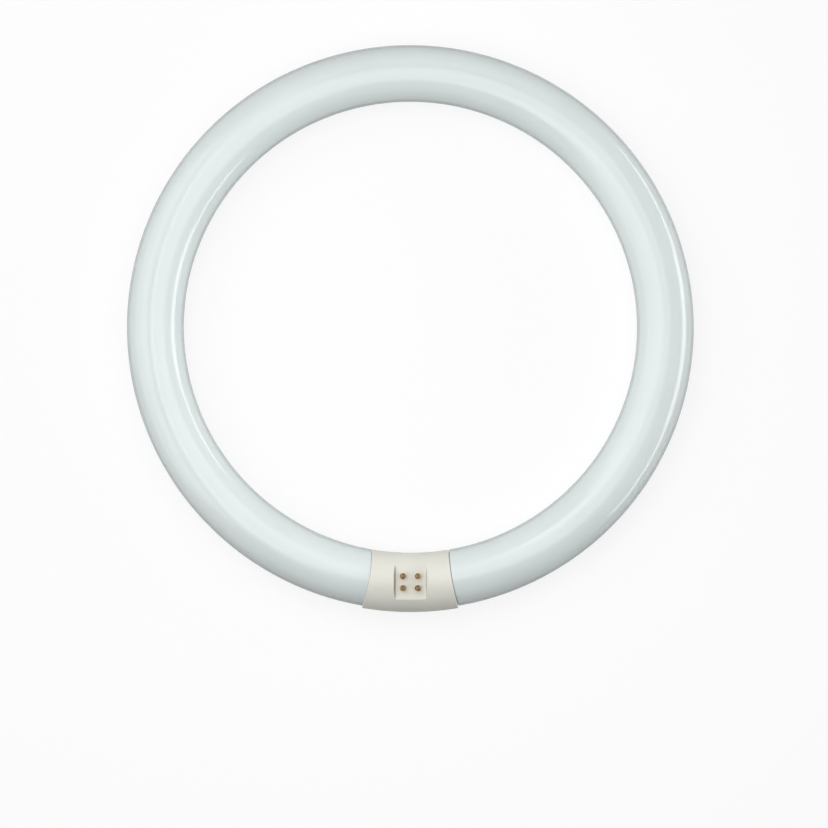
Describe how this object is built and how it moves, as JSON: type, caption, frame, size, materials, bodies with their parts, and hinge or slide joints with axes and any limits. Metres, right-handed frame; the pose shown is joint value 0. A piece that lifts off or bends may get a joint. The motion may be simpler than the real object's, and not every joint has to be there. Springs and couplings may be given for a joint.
{
  "type": "circular fluorescent tube",
  "caption": "Ring-shaped discharge lamp: a sealed white glass tube bent into a circle, its ends joined by a moulded cap that carries contact pins in a pocket.",
  "frame": {"origin": "centre of the ring, on the surface that the lamp lies on", "axes": "+Z along the ring's axis, the way the pins point; the cap is towards -Y and +X is to the right of it seen from the pins' side"},
  "size_m": [0.305, 0.3062, 0.036],
  "materials": {
    "tube_glass": "glossy clear glass over an even white phosphor coating, opaque",
    "cap_plastic": "satin moulded ivory plastic",
    "pin_brass": "dull, slightly tarnished brass",
    "lead_copper": "plain copper-clad wire",
    "solder": "dull solder",
    "sleeve_fibre": "woven glass-fibre sleeving"
  },
  "bodies": {
    "root": {"glass_tube": "tube_glass", "cap_front_shell": "cap_plastic", "cap_rear_shell": "cap_plastic", "contact_pin_left_inner": "pin_brass", "contact_pin_left_outer": "pin_brass", "contact_pin_right_inner": "pin_brass", "contact_pin_right_outer": "pin_brass", "lead_wire_left_inner": "lead_copper", "lead_wire_left_outer": "lead_copper", "lead_wire_right_inner": "lead_copper", "lead_wire_right_outer": "lead_copper", "solder_bead_left_inner": "solder", "solder_bead_left_outer": "solder", "solder_bead_right_inner": "solder", "solder_bead_right_outer": "solder", "insulating_sleeve_left": "sleeve_fibre", "insulating_sleeve_right": "sleeve_fibre"}
  },
  "joints": []
}
